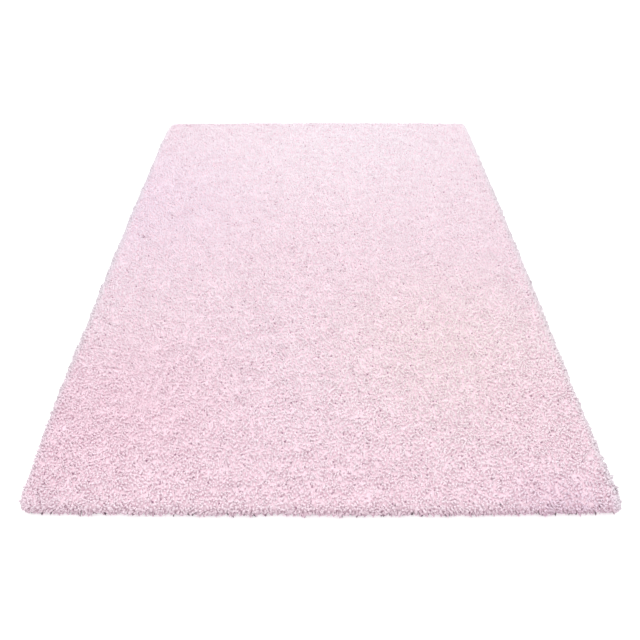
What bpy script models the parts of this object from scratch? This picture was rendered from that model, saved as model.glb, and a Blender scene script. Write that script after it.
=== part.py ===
"""A shag rug lying flat: one slab of deep cut pile, lumpy on top, with drooping locks of yarn round its rim.

Metres, +Z up. X runs across the rug and Y along it. The origin is the middle of the underside.
"""

import math
import random

import bmesh
import bpy
from mathutils import Matrix, Vector, geometry, noise

# The rug's outline, which most of the rim's pile reaches
RUG_WIDTH = 1.20
RUG_LENGTH = 1.70
CORNER_RADIUS = 0.028
SIDE_BOW = 0.006  # how far the middle of each long side stands out past its ends
END_BOW = 0.005
ASKEW = (
    # where its corners lie a little off square: plan point, how far that reaches, how far it is off there
    ((-0.60, -0.85), 0.28, (0.007, 0.0)),
    ((0.60, -0.85), 0.28, (0.006, 0.0)),
    ((-0.60, 0.85), 0.11, (0.008, -0.005)),
)

# The pile's top
PILE_HEIGHT = 0.034  # its mean height above the floor
SWELL_HEIGHT = 0.0025  # slow swells, where the pile stands fuller or lies flatter
SWELL_SPAN = 0.15
CLUMP_HEIGHT = 0.0045  # the most that a clump of tufts stands above or below the swell
CLUMP_PITCH = 0.034
CLUMP_WANDER = 0.30  # how far a clump strays from an even spacing, as a share of the pitch

# The rim's rings, from the floor up
RIM_POINTS = 260  # round each ring, and so the number of locks
RIM_RINGS = (
    # outset from the outline, height as a share of PILE_HEIGHT
    (-0.0170, 0.00),  # foot, the edge of the flat underside
    (-0.0085, 0.42),  # belly
    (-0.0120, 0.82),  # shoulder
    (-0.0245, 0.99),  # crown, where the top begins
)
BELLY, CROWN = 1, 3
RING_RIPPLE = 0.0010  # how far the belly and the shoulder rise and fall from lock to lock

# One lock to each face between the belly and the shoulder, in steps from its root
LOCK_STEPS = (
    # length, bend towards the floor in degrees, width left
    (0.0056, 34, 0.74),
    (0.0056, 34, 0.66),
    (0.0062, 18, 0.00),  # the tip, a point
)
LOCK_SPREAD = 0.35  # how much longer or shorter a lock may be than the mean
LOCK_SWAY = 22  # how far its whole length turns along the rim, in degrees
FLOOR_CLEARANCE = 0.0008

SHARP_ANGLE = 50  # in degrees: edges bent more than this are shaded sharp
SEED = 7
YARN_PINK = (0.86, 0.64, 0.73, 1.0)
YARN_ROUGHNESS = 0.95


def outline_stretches(outset):
    """The outline grown by outset, anticlockwise from the front left: bowed sides and round corners by turns.

    Each stretch is its length and a function from the share of that length passed to the point reached.
    """
    radius = CORNER_RADIUS + outset
    across = RUG_WIDTH / 2 - CORNER_RADIUS
    along = RUG_LENGTH / 2 - CORNER_RADIUS
    sides = (
        # the way that the side faces, half its length, how far out it lies, its bow
        (Vector((0, -1)), across, along, END_BOW),
        (Vector((1, 0)), along, across, SIDE_BOW),
        (Vector((0, 1)), across, along, END_BOW),
        (Vector((-1, 0)), along, across, SIDE_BOW),
    )
    stretches = []
    for facing, half, depth, bow in sides:
        ahead = Vector((-facing.y, facing.x))

        def side(share, facing=facing, ahead=ahead, half=half, depth=depth, bow=bow):
            place = 2 * share - 1
            return facing * (depth + radius + bow * (1 - place * place)) + ahead * half * place

        def corner(share, facing=facing, ahead=ahead, half=half, depth=depth):
            turn = share * math.pi / 2
            return facing * (depth + radius * math.cos(turn)) + ahead * (half + radius * math.sin(turn))

        stretches.append((2 * half, side))
        stretches.append((radius * math.pi / 2, corner))
    return stretches


def rim_places():
    """Evenly spaced places round the rim: each the number of a stretch and the share of it passed."""
    lengths = [length for length, _ in outline_stretches(0)]
    step = sum(lengths) / RIM_POINTS
    places = []
    for k in range(RIM_POINTS):
        gone = (k + 0.5) * step
        stretch = 0
        while gone > lengths[stretch]:
            gone -= lengths[stretch]
            stretch += 1
        places.append((stretch, gone / lengths[stretch]))
    return places


def askew(point):
    """Where a plan point of the square rug lies once its corners are off square."""
    moved = point.copy()
    for corner, reach, shift in ASKEW:
        nearness = max(0, 1 - (point - Vector(corner)).length_squared / reach**2)
        moved += Vector(shift) * nearness**2
    return moved


def pile_height(x, y):
    """The pile's height at a plan point, before its clumps."""
    return PILE_HEIGHT + SWELL_HEIGHT * noise.noise(Vector((x, y, 0)) / SWELL_SPAN)


def add_rings(mesh, places, chance):
    """The rim's rings of points, from the foot up to the crown."""
    rings = []
    for level, (outset, share) in enumerate(RIM_RINGS):
        stretches = outline_stretches(outset)
        ring = []
        for stretch, passed in places:
            point = stretches[stretch][1](passed)
            height = share * pile_height(*point)
            if BELLY <= level < CROWN:
                height += chance.uniform(-RING_RIPPLE, RING_RIPPLE)
            ring.append(mesh.verts.new((*point, height)))
        rings.append(ring)
    return rings


def add_walls(mesh, rings):
    """The faces between neighbouring rings. Returns those above the belly, where the locks grow."""
    lock_roots = []
    for level, (low, high) in enumerate(zip(rings, rings[1:])):
        for k in range(RIM_POINTS):
            after = (k + 1) % RIM_POINTS
            face = mesh.faces.new((low[k], low[after], high[after], high[k]))
            if level == BELLY:
                lock_roots.append(face)
    return lock_roots


def clump_points(chance):
    """Plan points of the clumps' tops and of the dips between them: staggered rows, each point astray."""
    reach_x = RUG_WIDTH / 2 + RIM_RINGS[CROWN][0] - CLUMP_PITCH / 2
    reach_y = RUG_LENGTH / 2 + RIM_RINGS[CROWN][0] - CLUMP_PITCH / 2
    across = round(2 * reach_x / CLUMP_PITCH)
    rows = round(2 * reach_y / (CLUMP_PITCH * math.sqrt(3) / 2))
    astray = CLUMP_WANDER * CLUMP_PITCH
    points = []
    for row in range(rows + 1):
        y = reach_y * (2 * row / rows - 1)
        stagger = 0.5 * (row % 2)
        for k in range(across + 1 - row % 2):
            x = reach_x * (2 * (k + stagger) / across - 1)
            x += chance.uniform(-astray, astray)
            points.append(Vector((x, y + chance.uniform(-astray, astray))))
    return points


def add_top(mesh, crown, chance):
    """The lumpy top: triangles between the crown ring and the clumps."""
    inside = clump_points(chance)
    border = [corner.co.xy for corner in crown]
    edges = [(k, (k + 1) % RIM_POINTS) for k in range(RIM_POINTS)]
    _, _, triangles, _, _, _ = geometry.delaunay_2d_cdt(border + inside, edges, [], 1, 1e-6)
    corners = list(crown)
    for x, y in inside:
        height = pile_height(x, y) + chance.uniform(-1, 1) * CLUMP_HEIGHT
        corners.append(mesh.verts.new((x, y, height)))
    for triangle in triangles:
        mesh.faces.new([corners[k] for k in triangle])


def grow_lock(mesh, root, chance):
    """Draws a rim face out into a four-sided lock that narrows, bends to the floor and ends in a point."""
    length = 1 + chance.uniform(-LOCK_SPREAD, LOCK_SPREAD)
    sway_per_step = math.radians(chance.uniform(-LOCK_SWAY, LOCK_SWAY)) / len(LOCK_STEPS)
    sway = Matrix.Rotation(sway_per_step, 3, "Z")
    way = root.normal.copy()
    along_rim = Vector((0, 0, 1)).cross(way).normalized()
    face = root
    for step, bend, width in LOCK_STEPS:
        face = bmesh.ops.extrude_discrete_faces(mesh, faces=[face])["faces"][0]
        turn = sway @ Matrix.Rotation(math.radians(bend), 3, along_rim)
        way = turn @ way
        along_rim = sway @ along_rim
        centre = face.calc_center_median()
        for corner in face.verts:
            corner.co = centre + turn @ (corner.co - centre) * width + way * step * length
    tip = centre + way * step * length
    tip.z = max(tip.z, FLOOR_CLEARANCE)
    bmesh.ops.pointmerge(mesh, verts=list(face.verts), merge_co=tip)


def yarn_material():
    material = bpy.data.materials.new("pile_yarn")
    material.use_nodes = True
    shader = material.node_tree.nodes["Principled BSDF"]
    shader.inputs["Base Color"].default_value = YARN_PINK
    shader.inputs["Roughness"].default_value = YARN_ROUGHNESS
    shader.inputs["Metallic"].default_value = 0.0
    return material


def make_rug():
    chance = random.Random(SEED)
    places = rim_places()
    mesh = bmesh.new()
    rings = add_rings(mesh, places, chance)
    lock_roots = add_walls(mesh, rings)
    add_top(mesh, rings[CROWN], chance)
    mesh.faces.new(reversed(rings[0]))
    mesh.normal_update()
    for root in lock_roots:
        grow_lock(mesh, root, chance)
    for corner in mesh.verts:
        corner.co.xy = askew(corner.co.xy)
    data = bpy.data.meshes.new("rug")
    mesh.to_mesh(data)
    mesh.free()
    data.shade_smooth()
    data.set_sharp_from_angle(angle=math.radians(SHARP_ANGLE))
    data.materials.append(yarn_material())
    rug = bpy.data.objects.new("rug", data)
    bpy.context.scene.collection.objects.link(rug)


def main():
    for leftover in list(bpy.data.objects):
        bpy.data.objects.remove(leftover)
    make_rug()


main()
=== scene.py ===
import math
from typing import NamedTuple

import bmesh
import bpy
import numpy as np
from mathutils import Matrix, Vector, geometry, noise
from mathutils.bvhtree import BVHTree


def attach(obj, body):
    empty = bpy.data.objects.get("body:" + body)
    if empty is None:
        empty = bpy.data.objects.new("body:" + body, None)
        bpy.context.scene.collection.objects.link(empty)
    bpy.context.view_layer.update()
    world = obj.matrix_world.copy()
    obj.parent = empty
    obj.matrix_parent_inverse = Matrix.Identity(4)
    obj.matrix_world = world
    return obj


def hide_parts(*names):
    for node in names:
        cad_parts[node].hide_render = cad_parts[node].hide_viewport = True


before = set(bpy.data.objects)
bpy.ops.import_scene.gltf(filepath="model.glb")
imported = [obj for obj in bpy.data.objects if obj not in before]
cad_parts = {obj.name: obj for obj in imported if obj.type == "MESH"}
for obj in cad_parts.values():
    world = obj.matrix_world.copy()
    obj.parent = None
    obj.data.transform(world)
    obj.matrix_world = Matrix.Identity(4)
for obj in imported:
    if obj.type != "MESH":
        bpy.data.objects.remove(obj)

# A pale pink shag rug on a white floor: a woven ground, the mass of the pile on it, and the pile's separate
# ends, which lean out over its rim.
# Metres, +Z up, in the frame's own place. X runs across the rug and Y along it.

SEED = 11
LEAN_SEED = 1795539017  # for the ways that the clumps lean, which would differ from run to run without it
NODE = "rug"

# The outline that the pile reaches
RUG_WIDTH = 1.20
RUG_LENGTH = 1.70
CORNER_RADIUS = 0.028
SIDE_BOW = 0.006
END_BOW = 0.005
ASKEW = (
    # where its corners lie a little off square: plan point, how far that reaches, how far it is off there
    ((-0.60, -0.85), 0.28, (0.007, 0.0)),
    ((0.60, -0.85), 0.28, (0.006, 0.0)),
    ((-0.60, 0.85), 0.11, (0.008, -0.005)),
)

# The woven ground under the pile
GROUND_INSET = 0.0190  # from the outline to the ground's edge
GROUND_THICKNESS = 0.0016

# The pile's body: where its yarn stands so close that it reads as one mass
BODY_BELOW = 0.0060  # how far its top lies below that of the solid that it replaces
BODY_PITCH = 0.014
BODY_WANDER = 0.25  # how far a point of its top strays from even rows, as a share of the pitch
BODY_MARGIN = 0.5  # how far inside the rim those points begin, as a share of the pitch
RIM_CENTRE = (0.0255, 0.0140)  # its rounded rim turns about this: inset from the outline, height
RIM_REACH = 0.0159  # from there out to the belly
RIM_UNEVEN = 0.0035  # the most that its belly stands out or draws in
RIM_LUMP = 0.022  # how long such a lump is
RIM_FOOT = -48  # where the rim meets the ground, in degrees from level
RIM_STEPS = 7

PANELS = 5  # pieces that the ends on the top are made in, from front to back


class Yarn(NamedTuple):
    """The sizes of one kind of yarn end. Every one is three-sided and ends in a point."""

    pitch: float
    length: float  # from the body's surface to the tip
    length_spread: float
    shape: tuple  # the share of its whole length and the radius there, row by row
    lean: float  # how far it leans at random from straight out, as a slope
    clump_lean: float  # how far it leans with its neighbours
    droop: float  # how far it has turned towards the floor by its tip, as a slope
    lift: float  # the most that its neighbourhood adds to its length or takes off
    lift_span: tuple  # how far such a neighbourhood reaches, across the rug and along it


ROW_SPAN = (0.055, 0.016)  # how far the pile's loose rows hold together, across the rug and along it
TOP_ENDS = Yarn(
    pitch=0.0053,
    length=0.0075,
    length_spread=0.0010,
    shape=((0.00, 0.0022), (0.74, 0.0027)),
    lean=0.45,
    clump_lean=0.30,
    droop=0.3,
    lift=0.0025,
    lift_span=ROW_SPAN,
)
RIM_LOCKS = Yarn(
    pitch=0.0054,
    length=0.0075,
    length_spread=0.0014,
    shape=((0.00, 0.0022), (0.74, 0.0026)),
    lean=0.50,
    clump_lean=0.40,
    droop=0.5,
    lift=0.0040,
    lift_span=(0.012, 0.012),
)
LOWEST_LOCK = -36  # where the locks begin on the rim, in degrees from level
HIGHEST_LOCK = 40  # where the ends of the top take over
SHOULDER_OVERLAP = 4  # how far below that they begin, in degrees
ASTRAY = 0.30  # how far an end strays from even rows, as a share of the pitch
SUNK = 0.0025  # how deep every end is rooted in the body
SHORTEST_CUT = 0.5  # the most that chance takes off an end, as a share of its length
THICKNESS_SPREAD = 0.10
THICKNESS_LIMITS = (0.6, 1.5)
FULL_LEAN = 1.6  # brings the noise that the clumps lean by up to a length of about 1
FLOOR_CLEARANCE = 0.0004
NEIGHBOURS = 12  # ends in a row that share out the short, the pale and the deep among them
SHORT_SHARE = 0.08  # the share of ends that are cut short, and darker than the others with painted shade, as if deep between their neighbours
SHORT_LENGTH = 0.55  # how much of its length such an end keeps
SHADED_SHARE = 0.24  # the share of ends that are coloured as if in deep shade where they are near the floor
TIP_ASTRAY = 0.0009  # how far a tip strays from its end's line
ROUNDNESS = 0.80  # how far an end's shading turns from the way it points to the way its side faces
CELL_START = 0.08  # where an end begins in its own square of the baking layout, as a share of its side
CELL_SIDE = 0.84  # how much of that side it takes up

# The camera, at the photograph's place
IMAGE_SIDE = 640
FOCAL_PIXELS = 591.9
SENSOR_WIDTH = 36.0
CAMERA_PITCH = 43.26  # degrees below the horizon
CAMERA_HEIGHT = 1.082
CAMERA_BACK = 1.432  # from the rug's middle
SHIFT_RIGHT_PIXELS = 2.7  # how far the rug's middle lies left of the picture's


# ---------------------------------------------------------------- outline

def outline_length():
    return 2 * (RUG_WIDTH + RUG_LENGTH - 4 * CORNER_RADIUS) + 2 * math.pi * CORNER_RADIUS


def askew(points):
    """Where plan points of the square rug lie once its corners are off square."""
    moved = points.copy()
    for corner, reach, shift in ASKEW:
        nearness = np.maximum(0, 1 - ((points - corner) ** 2).sum(axis=1) / reach**2)
        moved += nearness[:, None] ** 2 * shift
    return moved


def outline_points(gone, inset):
    """Plan points on the outline drawn in by inset, and the way out at each.

    gone is the share of the outline that has been gone round to reach them.
    """
    across = RUG_WIDTH - 2 * CORNER_RADIUS
    along = RUG_LENGTH - 2 * CORNER_RADIUS
    bend = CORNER_RADIUS * math.pi / 2
    stretches = [across, bend, along, bend] * 2
    starts = np.concatenate([[0], np.cumsum(stretches)])
    gone = np.asarray(gone) % 1 * starts[-1]
    stretch = np.searchsorted(starts, gone, side="right") - 1
    share = (gone - starts[stretch]) / np.array(stretches)[stretch]
    quarter = stretch // 2
    ends = quarter % 2 == 0
    facing = quarter * math.pi / 2 - math.pi / 2
    half = np.where(ends, across, along) / 2
    depth = np.where(ends, along, across) / 2
    bow = np.where(ends, END_BOW, SIDE_BOW)
    radius = CORNER_RADIUS - inset
    side = stretch % 2 == 0
    turn = np.where(side, 0, share * math.pi / 2)
    ahead = np.where(side, (2 * share - 1) * half, half + radius * np.sin(turn))
    out = depth + radius * np.cos(turn) + np.where(side, bow * (1 - (2 * share - 1) ** 2), 0)
    x = np.cos(facing) * out - np.sin(facing) * ahead
    y = np.sin(facing) * out + np.cos(facing) * ahead
    way = np.stack([np.cos(facing + turn), np.sin(facing + turn)], axis=-1)
    return askew(np.stack([x, y], axis=-1)), way


def inside_by(points):
    """How far inside the outline plan points lie."""
    half_x = RUG_WIDTH / 2 + SIDE_BOW * (1 - (points[:, 1] / (RUG_LENGTH / 2)) ** 2)
    half_y = RUG_LENGTH / 2 + END_BOW * (1 - (points[:, 0] / (RUG_WIDTH / 2)) ** 2)
    q = np.abs(points) - np.stack([half_x, half_y], axis=1) + CORNER_RADIUS
    return CORNER_RADIUS - np.linalg.norm(np.maximum(q, 0), axis=1) - np.minimum(q.max(axis=1), 0)


def smooth_number(points, span):
    """A number from -1 to 1 at plan points, which changes smoothly over the spans across and along."""
    return np.array([noise.noise(Vector((x / span[0], y / span[1], 0))) for x, y in points[:, :2]])


def even_points(pitch, wander, rng):
    """Plan points all over the rug's rectangle, in staggered rows, each a little astray."""
    row_pitch = pitch * math.sqrt(3) / 2
    across = int(RUG_WIDTH / pitch) + 2
    rows = int(RUG_LENGTH / row_pitch) + 2
    row, place = np.meshgrid(np.arange(rows), np.arange(across), indexing="ij")
    x = (place - across / 2 + 0.5 * (row % 2)) * pitch
    y = (row - rows / 2) * row_pitch
    points = np.stack([x.ravel(), y.ravel()], axis=1)
    return points + rng.uniform(-1, 1, points.shape) * wander * pitch


# ---------------------------------------------------------------- body

class Body:
    """The pile's body: the height of its top, and its rounded rim."""

    def __init__(self):
        graph = bpy.context.evaluated_depsgraph_get()
        self.tree = BVHTree.FromObject(bpy.data.objects[NODE], graph)

    def top(self, points):
        """The height of its top over plan points, below that of the solid that it replaces."""
        down = Vector((0, 0, -1))
        hits = [self.tree.ray_cast(Vector((x, y, 1)), down)[0] for x, y in points]
        return np.array([hit.z for hit in hits]) - BODY_BELOW

    def rim(self, gone, angle):
        """Points on the rim and the way out of it there.

        angle, in radians, is a right angle at the rim's crown, 0 at its belly and below 0 under that.
        """
        inset, middle = RIM_CENTRE
        crown, way = outline_points(gone, inset)
        rise = self.top(crown) - middle
        reach = RIM_REACH + RIM_UNEVEN * smooth_number(crown, (RIM_LUMP, RIM_LUMP))
        out = reach * np.cos(angle)
        up = rise * np.sin(angle)
        points = np.concatenate([crown + way * out[:, None], (middle + up)[:, None]], axis=1)
        steep = np.stack([np.cos(angle) / reach, np.sin(angle) / rise], axis=1)
        steep /= np.linalg.norm(steep, axis=1, keepdims=True)
        return points, np.concatenate([way * steep[:, :1], steep[:, 1:]], axis=1)


def join_rings(built, low, high):
    """The faces between two rings with as many points."""
    for k, corner in enumerate(low):
        after = (k + 1) % len(low)
        built.faces.new((corner, low[after], high[after], high[k]))


def make_body(body, material):
    """The body as one closed mesh: rings round its rim, a lumpy top, and a flat underside on the ground."""
    rng = np.random.default_rng(SEED + 1)
    count = round(outline_length() / BODY_PITCH)
    gone = np.arange(count) / count
    built = bmesh.new()
    rings = []
    for angle in np.radians(np.linspace(RIM_FOOT, 90, RIM_STEPS + 1)):
        points, _ = body.rim(gone, np.full(count, angle))
        points[:, 2] = np.maximum(points[:, 2], GROUND_THICKNESS)
        rings.append([built.verts.new(point) for point in points])
    foot, crown = rings[0], rings[-1]
    for corner in foot:
        corner.co.z = GROUND_THICKNESS
    for low, high in zip(rings, rings[1:]):
        join_rings(built, low, high)
    built.faces.new(list(reversed(foot)))

    plan = even_points(BODY_PITCH, BODY_WANDER, rng)
    plan = askew(plan[inside_by(plan) > RIM_CENTRE[0] + BODY_PITCH * BODY_MARGIN])
    border = [corner.co.xy for corner in crown]
    edges = [(k, (k + 1) % count) for k in range(count)]
    inner = [Vector(point) for point in plan]
    triangles = geometry.delaunay_2d_cdt(border + inner, edges, [], 1, 1e-7)[2]
    corners = crown + [built.verts.new((x, y, z)) for (x, y), z in zip(plan, body.top(plan))]
    for triangle in triangles:
        built.faces.new([corners[k] for k in triangle])
    return finished("pile_body", built, material)


def placed(name, data):
    """A new object in the scene."""
    thing = bpy.data.objects.new(name, data)
    bpy.context.scene.collection.objects.link(thing)
    return thing


def finished(name, built, material):
    """An object in the scene from a bmesh."""
    mesh = bpy.data.meshes.new(name)
    built.to_mesh(mesh)
    built.free()
    mesh.shade_smooth()
    mesh.materials.append(material)
    return placed(name, mesh)


def make_ground(material):
    """The woven ground, a thin closed sheet, flat on the floor."""
    count = round(outline_length() / BODY_PITCH)
    points, _ = outline_points(np.arange(count) / count, GROUND_INSET)
    built = bmesh.new()
    low = [built.verts.new((x, y, 0.0)) for x, y in points]
    high = [built.verts.new((x, y, GROUND_THICKNESS)) for x, y in points]
    built.faces.new(list(reversed(low)))
    built.faces.new(high)
    join_rings(built, low, high)
    piece = finished("ground_weave", built, material)
    piece.data.shade_flat()
    return piece


# ---------------------------------------------------------------- yarn ends

def unit(vectors):
    return vectors / np.linalg.norm(vectors, axis=1, keepdims=True)


def clump_ways(points):
    """The way that each end's clump leans, as a plan vector of up to about 1."""
    across, along = ROW_SPAN
    ways = [noise.noise_vector(Vector((x / across, y / along, 0)))[:2] for x, y, _ in points]
    return np.array(ways) * FULL_LEAN


def own_numbers(count, rng):
    """A number from 0 to 1 for each end, so spread that any few neighbours have low ones and high ones."""
    ranks = np.arange(count) % NEIGHBOURS
    blocks = np.arange(count) // NEIGHBOURS
    order = np.lexsort([rng.uniform(0, 1, count), blocks])
    return (ranks[np.argsort(order)] + rng.uniform(0, 1, count)) / NEIGHBOURS


def end_points(yarn, roots, normals, tuft, rng):
    """Each end's points, three at each row of its shape and its tip, and the way that its shading faces.

    tuft is each end's own number from 0 to 1, and the lowest are cut short.
    """
    count = len(roots)
    lean = np.zeros((count, 3))
    lean[:, :2] = clump_ways(roots) * yarn.clump_lean
    lean += rng.normal(0, yarn.lean, (count, 3))
    lean -= normals * (lean * normals).sum(axis=1, keepdims=True)
    way = unit(normals + lean)
    level = np.linalg.norm(normals[:, :2], axis=1, keepdims=True)
    fall = level * np.array([0, 0, -yarn.droop])
    uneven = rng.normal(0, yarn.length_spread, count)
    length = SUNK + yarn.length + uneven.clip(-SHORTEST_CUT * yarn.length, yarn.length)
    length += yarn.lift * smooth_number(roots, yarn.lift_span)
    length *= np.where(tuft < SHORT_SHARE, SHORT_LENGTH, 1)
    thick = np.clip(1 + rng.normal(0, THICKNESS_SPREAD, count), *THICKNESS_LIMITS)
    spin = rng.uniform(0, 2 * math.pi, count)
    centre = roots - normals * SUNK
    passed = 0
    corners = []
    facing = []
    for share, radius in (*yarn.shape, (1.0, None)):
        ahead = unit(way + fall * (share + passed) / 2)
        centre = centre + ahead * (length * (share - passed))[:, None]
        passed = share
        if radius is None:
            corners.append(centre + rng.normal(0, TIP_ASTRAY, (count, 3)))
            facing.append(ahead)
            break
        helper = np.where(np.abs(ahead[:, 2:]) < 0.9, [[0.0, 0.0, 1.0]], [[1.0, 0.0, 0.0]])
        across = unit(np.cross(ahead, helper))
        over = np.cross(across, ahead)
        for corner in range(3):
            around = (spin + 2 * math.pi * corner / 3)[:, None]
            out = np.cos(around) * over + np.sin(around) * across
            corners.append(centre + out * (radius * thick)[:, None])
            facing.append(unit(ahead * (1 - ROUNDNESS) + out * ROUNDNESS))
    corners = np.stack(corners, axis=1)
    corners[:, :, 2] = np.maximum(corners[:, :, 2], FLOOR_CLEARANCE)
    return corners, np.stack(facing, axis=1)


def end_faces(shape):
    """One end's triangles, as numbers of its points, and each corner's place round and along it."""
    shares = [share for share, _ in shape]
    tip = 3 * len(shares)
    faces = [((0, 2, 1), ((0, 0), (1, 0), (0.5, 0)))]
    for c in range(3):
        n = (c + 1) % 3
        left, right = c / 3, (c + 1) / 3
        for k, (low, high) in enumerate(zip(shares, shares[1:])):
            a, b = 3 * k + c, 3 * k + n
            faces.append(((a, b, b + 3), ((left, low), (right, low), (right, high))))
            faces.append(((a, b + 3, a + 3), ((left, low), (right, high), (left, high))))
        end = ((left, shares[-1]), (right, shares[-1]), ((left + right) / 2, 1))
        faces.append(((tip - 3 + c, tip - 3 + n, tip), end))
    return faces


def make_ends(name, yarn, roots, normals, material, rng):
    """One piece of pile, from its ends' roots and the way out of the body at each."""
    tuft = own_numbers(len(roots), rng)
    corners, facing = end_points(yarn, roots, normals, tuft, rng)
    count, per_end, _ = corners.shape
    faces = end_faces(yarn.shape)
    index = np.array([f for f, _ in faces])
    places = np.array([p for _, p in faces], dtype=np.float64)
    mesh = bpy.data.meshes.new(name)
    mesh.vertices.add(count * per_end)
    mesh.vertices.foreach_set("co", corners.reshape(-1).astype(np.float32))
    loops = (index.reshape(1, -1) + (np.arange(count) * per_end)[:, None]).reshape(-1)
    mesh.loops.add(len(loops))
    mesh.loops.foreach_set("vertex_index", loops.astype(np.int32))
    mesh.polygons.add(count * len(faces))
    mesh.polygons.foreach_set("loop_start", np.arange(0, len(loops), 3, dtype=np.int32))
    mesh.update(calc_edges=True)

    side = math.ceil(math.sqrt(count))
    cell = np.stack([np.arange(count) % side, np.arange(count) // side], axis=1)
    local = places.reshape(1, -1, 2)
    bake = (cell[:, None] + CELL_START + CELL_SIDE * local) / side
    mesh.uv_layers.new(name="OFBake").uv.foreach_set("vector", bake.reshape(-1).astype(np.float32))
    on_yarn = np.tile(local.reshape(-1), count)
    mesh.uv_layers.new(name="yarn").uv.foreach_set("vector", on_yarn.astype(np.float32))

    along = [share for share, _ in yarn.shape for _ in range(3)] + [1.0]
    for label, values in (("along", np.tile(along, count)), ("tuft", np.repeat(tuft, per_end))):
        mesh.attributes.new(label, "FLOAT", "POINT").data.foreach_set("value", values.astype(np.float32))
    mesh.shade_smooth()
    mesh.normals_split_custom_set_from_vertices(facing.reshape(-1, 3).tolist())
    mesh.materials.append(material)
    print(name, "ends:", count, "triangles:", len(mesh.polygons))
    return placed(name, mesh)


def rim_roots(body, yarn, lowest, highest, rng):
    """Roots round the rim between two angles from level, in degrees, and the way out of the body at each."""
    arc = math.radians(highest - lowest) * (RIM_REACH + yarn.length)
    rows = math.ceil(arc / (yarn.pitch * math.sqrt(3) / 2))
    columns = round(outline_length() / yarn.pitch)
    row, column = np.meshgrid(np.arange(rows), np.arange(columns), indexing="ij")
    gone = (column.ravel() + 0.5 * (row.ravel() % 2) + rng.uniform(-ASTRAY, ASTRAY, row.size)) / columns
    climb = (row.ravel() + 0.5 + rng.uniform(-ASTRAY, ASTRAY, row.size)) / rows
    return body.rim(gone, np.radians(lowest + (highest - lowest) * climb))


def top_roots(body, pitch, rng):
    """Roots all over the top inside the rim, from front to back. Every one stands upright."""
    plan = even_points(pitch, ASTRAY, rng)
    plan = askew(plan[inside_by(plan) > RIM_CENTRE[0]])
    plan = plan[np.argsort(plan[:, 1], kind="stable")]
    roots = np.concatenate([plan, body.top(plan)[:, None]], axis=1)
    return roots, np.tile([0.0, 0.0, 1.0], (len(plan), 1))


def make_pile(body, material):
    """All the separate ends: the rim's locks, its shoulder, and the top in panels from front to back."""
    rng = np.random.default_rng(SEED)
    locks = rim_roots(body, RIM_LOCKS, LOWEST_LOCK, HIGHEST_LOCK, rng)
    shoulder = rim_roots(body, TOP_ENDS, HIGHEST_LOCK - SHOULDER_OVERLAP, 90, rng)
    pieces = [
        make_ends("pile_rim_locks", RIM_LOCKS, *locks, material, rng),
        make_ends("pile_shoulder", TOP_ENDS, *shoulder, material, rng),
    ]
    roots, normals = top_roots(body, TOP_ENDS.pitch, rng)
    for k, part in enumerate(np.array_split(np.arange(len(roots)), PANELS)):
        pieces.append(make_ends(f"pile_{k + 1}", TOP_ENDS, roots[part], normals[part], material, rng))
    return pieces


# ---------------------------------------------------------------- materials

def new_material(name):
    """A new material, its nodes and its shader."""
    material = bpy.data.materials.new(name)
    material.use_nodes = True
    tree = material.node_tree
    return material, tree, tree.nodes["Principled BSDF"]


def fill(tree, node, inputs):
    """Sets a node's inputs, and links those whose value is another node's output."""
    for key, value in inputs.items():
        if isinstance(value, bpy.types.NodeSocket):
            tree.links.new(value, node.inputs[key])
        else:
            node.inputs[key].default_value = value


def add(tree, kind, inputs=None, **settings):
    """A new node."""
    node = tree.nodes.new(kind)
    for key, value in settings.items():
        setattr(node, key, value)
    fill(tree, node, inputs or {})
    return node


def calculate(tree, operation, *values):
    """What a Math node makes of the values."""
    return add(tree, "ShaderNodeMath", dict(enumerate(values)), operation=operation).outputs[0]


def mix_colour(tree, share, under, over, blend="MIX"):
    """One colour with a share of another over it."""
    inputs = {0: share, 6: under, 7: over}
    return add(tree, "ShaderNodeMix", inputs, data_type="RGBA", blend_type=blend).outputs[2]


def map_range(tree, value, from_low, from_high, to_low=0.0, to_high=1.0, smooth=False):
    """The value, brought from one range to another and held at its limits."""
    inputs = {"Value": value, "From Min": from_low, "From Max": from_high}
    inputs.update({"To Min": to_low, "To Max": to_high})
    way = "SMOOTHSTEP" if smooth else "LINEAR"
    return add(tree, "ShaderNodeMapRange", inputs, interpolation_type=way).outputs[0]


class Shade(NamedTuple):
    """A colour that comes in over the yarn's own, from where it begins to where it has its full strength."""

    colour: tuple
    begins: float
    full: float
    strength: float


TIP_PINK = (0.885, 0.77, 0.83, 1)
# a deeper pink toward the roots: partly the yarn's own tone, partly painted shade deep in the pile
ROOT_PINK_AND_SHADE = (0.865, 0.67, 0.745, 1)
ROOT_SPAN = (0.20, 0.85)  # from where to where along an end its root's pink gives way to its tip's
BODY_ROOT_SHARE = 0.8  # how much of the root's pink the body has, partly painted shade deep in the pile
SHORT_END_PAINTED_SHADE = (0.36, 0.19, 0.28, 1)  # painted shade for the ends that are cut short, as if deep between their neighbours
LEAST_DARK = 0.3  # the share of it on the palest of them
STEP = 0.001  # how much of the range of own numbers a sharp change takes up
# These come in by an end's own number
DEEP_TUFTS = Shade((0.86, 0.65, 0.73, 1), 0.55, 0.0, 0.15)
PALE_TUFTS = Shade((0.94, 0.86, 0.90, 1), 0.6, 1.0, 0.10)
# Painted shade, greyer along the long sides, which comes in by the distance from the rug's long middle line
SIDES_PAINTED_SHADE = Shade((0.62, 0.62, 0.65, 1), 0.572, 0.602, 0.52)
# Painted shade near the floor, which comes in by the height above the floor
LOW_ENDS_PAINTED_SHADE = Shade((0.45, 0.235, 0.335, 1), 0.028, 0.004, 0.60)
SHADED_ENDS = Shade((0.07, 0.03, 0.05, 1), 0.017, 0.007, 0.90)
LOW_BODY_PAINTED_SHADE = Shade((0.22, 0.10, 0.16, 1), 0.026, 0.007, 0.95)
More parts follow.
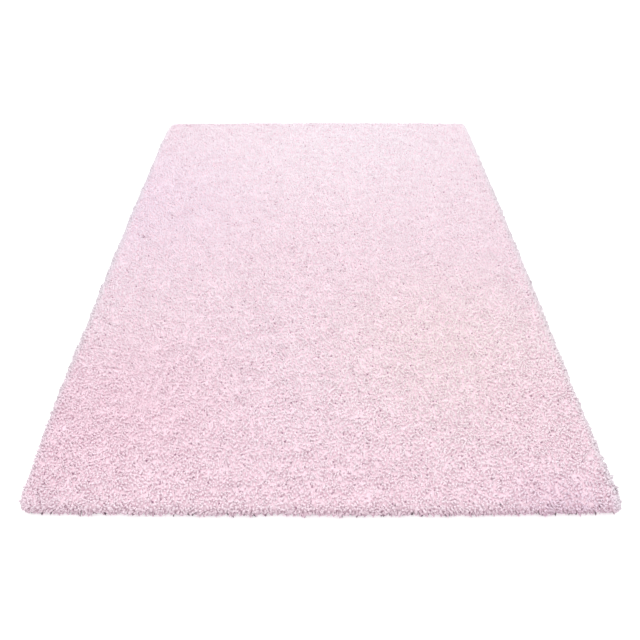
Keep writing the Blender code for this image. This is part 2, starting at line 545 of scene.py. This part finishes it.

# Slow drifts of tint over the pile. The pale one at the far end is painted light, and the darkest ones at
# the front corners are painted shade.
DRIFTS = (
    # plan point, how far it reaches, the tint at its middle, its strength there
    ((-0.62, 0.30), 0.70, (0.87, 0.75, 0.88, 1), 0.55),
    ((-0.42, -0.62), 0.42, (0.90, 0.66, 0.76, 1), 0.55),
    ((0.34, -0.42), 0.48, (0.90, 0.80, 0.78, 1), 0.60),
    # painted light: the far end paler and whiter
    ((0.10, 0.80), 1.00, (0.895, 0.855, 0.90, 1), 0.80),
    ((0.45, -0.86), 0.22, (0.86, 0.66, 0.77, 1), 0.50),
    ((0.05, -1.05), 0.55, (0.88, 0.66, 0.75, 1), 0.55),
    # painted shade at the front-left corner
    ((-0.66, -0.66), 0.32, (0.81, 0.59, 0.69, 1), 0.50),
    ((-0.55, -0.90), 0.20, (0.78, 0.62, 0.70, 1), 0.60),
    ((0.50, -0.62), 0.26, (0.86, 0.69, 0.76, 1), 0.40),
    # painted shade at the front-right corner
    ((0.50, -0.91), 0.18, (0.70, 0.52, 0.66, 1), 0.65),
)
DRIFT_HEIGHT = 0.03  # the height of each drift's middle

# The yarn's finest detail
FIBRE_SCALE = 520.0
FIBRE_LIMITS = (0.3, 0.7)  # the part of the noise that makes the grain
GRAIN = (0.95, 1.03)  # how much darker and lighter it makes the yarn


def with_drifts(tree, place, colour):
    """The colour with the slow drifts of tint, painted light and painted shade over it."""
    for middle, reach, tint, strength in DRIFTS:
        inputs = {0: place, 1: (*middle, DRIFT_HEIGHT)}
        away = add(tree, "ShaderNodeVectorMath", inputs, operation="DISTANCE").outputs["Value"]
        share = map_range(tree, away, reach, 0.0, 0.0, strength, smooth=True)
        colour = mix_colour(tree, share, colour, tint)
    return colour


def strength_at(tree, value, shade, smooth=True):
    """How strong the shade is at the value."""
    return map_range(tree, value, shade.begins, shade.full, 0.0, shade.strength, smooth)


def with_shade(tree, colour, value, shade, smooth=True):
    """The colour with the shade over it, as strong as the value makes it."""
    return mix_colour(tree, strength_at(tree, value, shade, smooth), colour, shade.colour)


def lowest(tree, tuft, share):
    """1 for that share of the ends whose own numbers are the lowest, and 0 for the others."""
    return map_range(tree, tuft, share + STEP, share)


def ends_colour(tree, colour, across, height):
    """The ends' colour, no two quite alike: a deeper pink toward the root that is partly painted shade, and
    painted shade that makes them darker near the floor and on the short ends and greyer at the sides.
    """
    along = add(tree, "ShaderNodeAttribute", attribute_name="along").outputs["Fac"]
    tuft = add(tree, "ShaderNodeAttribute", attribute_name="tuft").outputs["Fac"]
    colour = with_shade(tree, colour, tuft, DEEP_TUFTS, smooth=False)
    colour = with_shade(tree, colour, tuft, PALE_TUFTS, smooth=False)
    darkness = map_range(tree, tuft, SHORT_SHARE, 0.0, LEAST_DARK, 1.0)
    dark = calculate(tree, "MULTIPLY", lowest(tree, tuft, SHORT_SHARE), darkness)
    colour = mix_colour(tree, dark, colour, SHORT_END_PAINTED_SHADE)
    from_root = map_range(tree, along, *ROOT_SPAN, smooth=True)
    colour = mix_colour(tree, from_root, ROOT_PINK_AND_SHADE, colour)
    from_middle = calculate(tree, "ABSOLUTE", across)
    colour = with_shade(tree, colour, from_middle, SIDES_PAINTED_SHADE)
    colour = with_shade(tree, colour, height, LOW_ENDS_PAINTED_SHADE)
    near_floor = strength_at(tree, height, SHADED_ENDS)
    shaded = calculate(tree, "MULTIPLY", lowest(tree, tuft, SHADED_SHARE), near_floor)
    return mix_colour(tree, shaded, colour, SHADED_ENDS.colour)


def yarn_material(name, ends=True):
    """Pale pink cut yarn with soft drifts of tint and painted light and shade, for the separate ends or for
    the body between them.
    """
    material, tree, shader = new_material(name)
    place = add(tree, "ShaderNodeTexCoord").outputs["Object"]
    split = add(tree, "ShaderNodeSeparateXYZ", {"Vector": place}).outputs
    colour = with_drifts(tree, place, TIP_PINK)
    if ends:
        colour = ends_colour(tree, colour, split["X"], split["Z"])
    else:
        colour = mix_colour(tree, BODY_ROOT_SHARE, colour, ROOT_PINK_AND_SHADE)
        colour = with_shade(tree, colour, split["Z"], LOW_BODY_PAINTED_SHADE)
    inputs = {"Vector": place, "Scale": FIBRE_SCALE, "Detail": 2.0}
    fibre = add(tree, "ShaderNodeTexNoise", inputs).outputs["Fac"]
    grain = map_range(tree, fibre, *FIBRE_LIMITS, *GRAIN)
    grey = add(tree, "ShaderNodeCombineColor", {"Red": grain, "Green": grain, "Blue": grain}).outputs[0]
    relief = fibre
    if ends:
        yarn = add(tree, "ShaderNodeUVMap", uv_map="yarn").outputs[0]
        inputs = {"Vector": yarn, "Scale": 1.9, "Distortion": 1.2}
        twist = add(tree, "ShaderNodeTexWave", inputs, bands_direction="DIAGONAL").outputs["Fac"]
        relief = calculate(tree, "ADD", twist, fibre)
    bump = add(tree, "ShaderNodeBump", {"Strength": 0.25, "Distance": 0.0008, "Height": relief})
    look = {
        "Base Color": mix_colour(tree, 1.0, colour, grey, "MULTIPLY"),
        "Normal": bump.outputs[0],
        "Roughness": 0.92,
        "Specular IOR Level": 0.2,
        "Sheen Weight": 0.35,
        "Sheen Roughness": 0.45,
        "Sheen Tint": (1.0, 0.96, 0.98, 1),
    }
    fill(tree, shader, look)
    return material


WEAVE_GAP = (0.42, 0.36, 0.29, 1)
WEAVE_THREAD = (0.74, 0.68, 0.58, 1)
WEAVE_FLECK = (0.55, 0.47, 0.37, 1)


def ground_material():
    """Undyed warp and weft, seen from below."""
    material, tree, shader = new_material("ground_weave_look")
    place = add(tree, "ShaderNodeTexCoord").outputs["Object"]
    inputs = {"Vector": place, "Scale": 95.0, "Distortion": 0.4}
    warp = add(tree, "ShaderNodeTexWave", inputs, bands_direction="X").outputs["Fac"]
    weft = add(tree, "ShaderNodeTexWave", inputs, bands_direction="Y").outputs["Fac"]
    weave = calculate(tree, "MULTIPLY", warp, weft)
    fleck = add(tree, "ShaderNodeTexNoise", {"Vector": place, "Scale": 60.0, "Detail": 4.0}).outputs["Fac"]
    colour = mix_colour(tree, weave, WEAVE_GAP, WEAVE_THREAD)
    colour = mix_colour(tree, map_range(tree, fleck, 0.45, 0.7, 0.0, 0.4), colour, WEAVE_FLECK)
    bump = add(tree, "ShaderNodeBump", {"Strength": 0.6, "Distance": 0.0006, "Height": weave})
    fill(tree, shader, {"Base Color": colour, "Normal": bump.outputs[0], "Roughness": 0.95})
    return material


# ---------------------------------------------------------------- stage

FLOOR_REACH = 9.0
FLOOR_DROP = 0.0005  # how far the floor lies below the rug's underside
SKY_STRENGTH = 1.135
LIGHT_BOUNCES = 16
DIFFUSE_BOUNCES = 10
LAMPS = (
    # name, place, the lamp's side, its power
    ("key", (0.0, 0.75, 2.4), 1.8, 24),
    ("fill", (0.0, -2.2, 1.6), 1.6, 5),
)


def make_floor():
    """A plain white floor with a faint glow, in place of the photograph's empty background."""
    mesh = bpy.data.meshes.new("floor")
    plan = ((-1, -1), (1, -1), (1, 1), (-1, 1))
    mesh.from_pydata([(x * FLOOR_REACH, y * FLOOR_REACH, 0) for x, y in plan], [], [(0, 1, 2, 3)])
    material, tree, shader = new_material("floor_pale")
    look = {
        "Base Color": (0.93, 0.93, 0.93, 1),
        "Roughness": 0.9,
        "Specular IOR Level": 0.1,
        "Emission Color": (1, 1, 1, 1),
        "Emission Strength": 0.3,
    }
    fill(tree, shader, look)
    mesh.materials.append(material)
    floor = placed("floor", mesh)
    floor.location.z = -FLOOR_DROP


def make_lights():
    """An even white sky, and two soft lamps that face the rug's middle from above and from in front."""
    world = bpy.data.worlds.new("studio")
    bpy.context.scene.world = world
    world.use_nodes = True
    sky = world.node_tree.nodes["Background"]
    fill(world.node_tree, sky, {"Color": (1, 1, 1, 1), "Strength": SKY_STRENGTH})
    for name, place, side, power in LAMPS:
        lamp = bpy.data.lights.new(name, "AREA")
        lamp.size = side
        lamp.energy = power
        light = placed(name, lamp)
        light.location = place
        light.rotation_euler = (-Vector(place)).to_track_quat("-Z", "Y").to_euler()


def make_camera():
    """The camera at the photograph's place. The rug's middle lies a little left of the picture's."""
    data = bpy.data.cameras.new("camera")
    data.sensor_width = SENSOR_WIDTH
    data.lens = FOCAL_PIXELS / IMAGE_SIDE * SENSOR_WIDTH
    data.shift_x = SHIFT_RIGHT_PIXELS / IMAGE_SIDE
    camera = placed("camera", data)
    camera.location = (0, -CAMERA_BACK, CAMERA_HEIGHT)
    camera.rotation_euler = (math.radians(90 - CAMERA_PITCH), 0, 0)
    bpy.context.scene.camera = camera


def main():
    noise.seed_set(LEAN_SEED)
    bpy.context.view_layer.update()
    make_camera()
    make_lights()
    make_floor()
    bpy.context.scene.view_settings.view_transform = "Standard"
    bpy.context.scene.cycles.max_bounces = LIGHT_BOUNCES
    bpy.context.scene.cycles.diffuse_bounces = DIFFUSE_BOUNCES
    body = Body()
    pile = make_pile(body, yarn_material("pile_yarn_look"))
    pile.append(make_body(body, yarn_material("pile_body_look", ends=False)))
    ground = make_ground(ground_material())
    for piece in [ground, *pile]:
        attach(piece, "root")
        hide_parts(NODE)


main()
